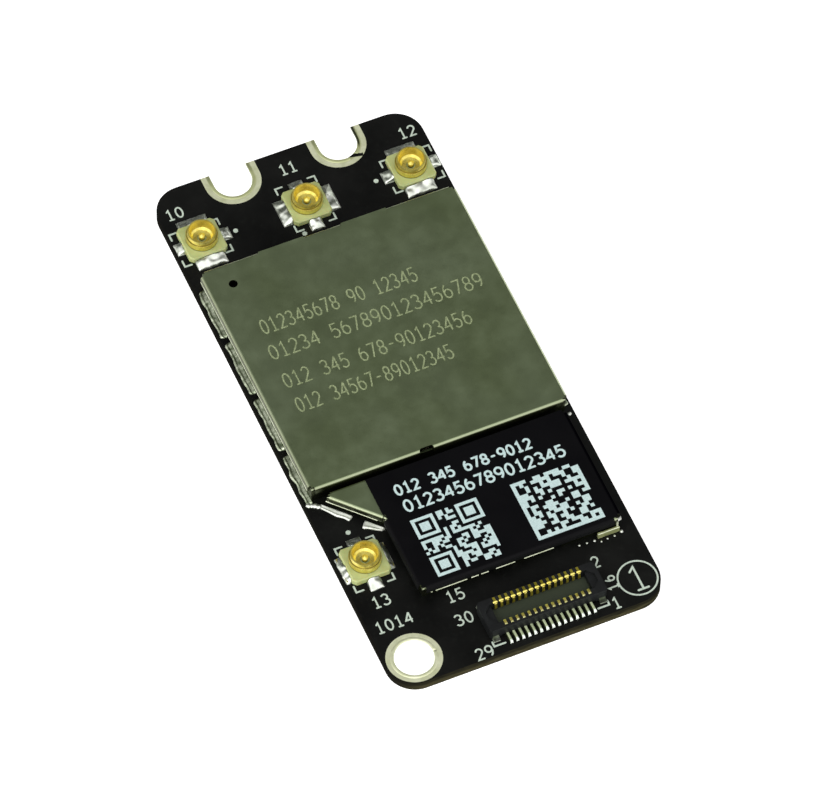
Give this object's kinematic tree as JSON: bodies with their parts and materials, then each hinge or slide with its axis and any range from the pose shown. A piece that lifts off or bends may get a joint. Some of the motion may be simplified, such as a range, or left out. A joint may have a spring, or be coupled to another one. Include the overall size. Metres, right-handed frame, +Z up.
{
  "type": "laptop wireless card",
  "caption": "Small black circuit board with stepped folded metal shields, push-fit antenna jacks, a board-to-board connector, a plated mounting hole and half-open screw notches.",
  "frame": {"origin": "middle of the underside of the board", "axes": "+Z up through the components, +Y along the board towards the end with three jacks and the notches, +X to the right"},
  "size_m": [0.0182, 0.04, 0.0022],
  "materials": {
    "solder_mask": "near-black semi-gloss solder mask on glass fibre laminate",
    "plating": "pale tinned plating, satin",
    "solder": "bright reflowed solder",
    "shield_sheet": "satin nickel sheet, olive grey, faintly blotched",
    "label_film": "matte black film with pale print",
    "housing_plastic": "charcoal moulded resin",
    "gold": "gold-plated contact metal",
    "jack_resin": "cream moulded insulator",
    "chip_resin": "black moulding compound",
    "ceramic_body": "fired ceramic with tinned ends",
    "ferrite": "dark ferrite",
    "can_metal": "nickel can"
  },
  "bodies": {
    "root": {"band_filters": "ceramic_body", "board": "solder_mask", "connector_front_contacts": "gold", "connector_housing": "housing_plastic", "connector_lands": "solder", "connector_nails": "solder", "connector_rear_contacts": "gold", "front_end_modules": "chip_resin", "front_shield_frame": "shield_sheet", "front_shield_lid": "shield_sheet", "front_shield_solder": "solder", "jack_0_insulator": "jack_resin", "jack_0_pin": "gold", "jack_0_shell": "gold", "jack_1_insulator": "jack_resin", "jack_1_pin": "gold", "jack_1_shell": "gold", "jack_2_insulator": "jack_resin", "jack_2_pin": "gold", "jack_2_shell": "gold", "jack_3_insulator": "jack_resin", "jack_3_pin": "gold", "jack_3_shell": "gold", "jack_lands": "solder", "label": "label_film", "left_notch_plating": "plating", "main_shield_frame": "shield_sheet", "main_shield_lid": "shield_sheet", "main_shield_solder": "solder", "memory_chip": "chip_resin", "mount_hole_plating": "plating", "power_inductors": "ferrite", "power_regulator": "chip_resin", "radio_capacitors": "ceramic_body", "radio_chip": "chip_resin", "radio_crystal": "can_metal", "right_notch_plating": "plating", "second_radio_chip": "chip_resin", "second_radio_crystal": "can_metal", "second_radio_memory": "chip_resin", "second_radio_resistors": "ceramic_body"}
  },
  "joints": []
}
